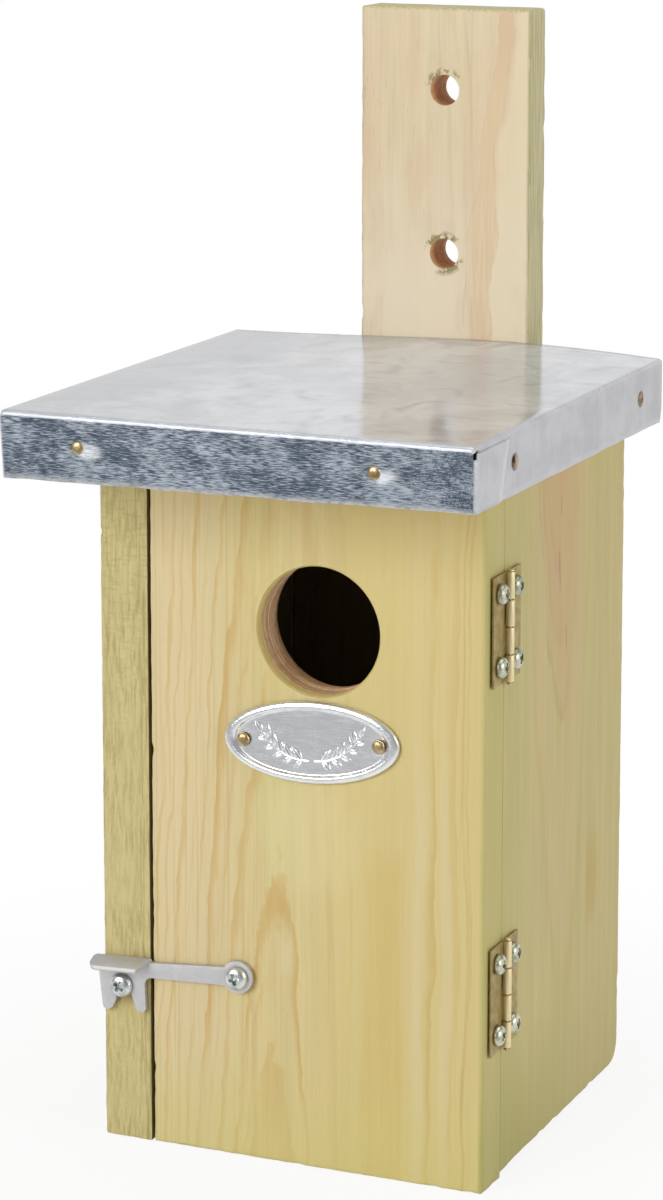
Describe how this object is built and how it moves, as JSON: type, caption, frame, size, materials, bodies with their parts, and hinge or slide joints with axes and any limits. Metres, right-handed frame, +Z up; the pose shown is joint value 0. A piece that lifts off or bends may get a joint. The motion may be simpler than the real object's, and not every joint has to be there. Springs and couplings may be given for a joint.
{
  "type": "wren birdhouse",
  "caption": "Small wooden nest box with a hinged front door, round entrance hole, hook latch, folded metal roof and a mounting batten at the back.",
  "frame": {"origin": "on the ground plane under the middle of the whole box in plan, at the bottom of the case", "axes": "+Z up along the batten, +X towards the hinge side, -Y towards the door, +Y towards the wall it hangs on"},
  "size_m": [0.1226, 0.1448, 0.2793],
  "materials": {
    "treated_pine": "planed pressure-treated pine with a green-yellow tint, bare",
    "pale_pine": "planed pale pine, bare",
    "galvanised_sheet": "hot-dip galvanised, streaked",
    "pressed_aluminium": "bright pressed sheet",
    "zinc_latch": "dull zinc plating",
    "zinc_screws": "bright zinc plating",
    "brass_plating": "thin brass plating, dull",
    "brass_nails": "polished domed heads"
  },
  "bodies": {
    "case": {"back_wall": "treated_pine", "floor_board": "treated_pine", "left_side_board": "treated_pine", "right_side_board": "treated_pine", "roof_board": "treated_pine", "roof_sheet": "galvanised_sheet", "mounting_batten": "pale_pine", "latch_catch_screw": "zinc_screws", "upper_hinge_side_leaf": "brass_plating", "upper_hinge_pin": "brass_plating", "lower_hinge_side_leaf": "brass_plating", "lower_hinge_pin": "brass_plating", "upper_hinge_side_top_screw": "zinc_screws", "upper_hinge_side_bottom_screw": "zinc_screws", "lower_hinge_side_top_screw": "zinc_screws", "lower_hinge_side_bottom_screw": "zinc_screws", "front_left_roof_nail": "brass_nails", "front_right_roof_nail": "brass_nails", "left_front_roof_nail": "brass_nails", "left_back_roof_nail": "brass_nails", "right_front_roof_nail": "brass_nails", "right_back_roof_nail": "brass_nails", "left_front_roof_screw": "zinc_screws", "left_back_roof_screw": "zinc_screws", "right_front_roof_screw": "zinc_screws", "right_back_roof_screw": "zinc_screws", "left_rear_roof_screw": "zinc_screws", "right_rear_roof_screw": "zinc_screws", "left_floor_screw": "zinc_screws", "right_floor_screw": "zinc_screws", "upper_left_batten_screw": "zinc_screws", "upper_right_batten_screw": "zinc_screws", "lower_left_batten_screw": "zinc_screws", "lower_right_batten_screw": "zinc_screws"},
    "door": {"front_door": "treated_pine", "oval_plate": "pressed_aluminium", "left_plate_nail": "brass_nails", "right_plate_nail": "brass_nails", "upper_hinge_door_leaf": "brass_plating", "lower_hinge_door_leaf": "brass_plating", "upper_hinge_door_top_screw": "zinc_screws", "upper_hinge_door_bottom_screw": "zinc_screws", "lower_hinge_door_top_screw": "zinc_screws", "lower_hinge_door_bottom_screw": "zinc_screws", "latch_pivot_screw": "zinc_screws"},
    "latch": {"latch": "zinc_latch"}
  },
  "joints": [
    {"name": "door_swing", "type": "hinge", "parent": "case", "child": "door", "pos_m": [0.0526, -0.027, 0], "axis": [0, 0, 1], "range_deg": [0, 135]},
    {"name": "latch_lift", "type": "hinge", "parent": "door", "child": "latch", "pos_m": [-0.0135, -0.03925, 0.0467], "axis": [0, 1, 0], "range_deg": [0, 180]}
  ]
}
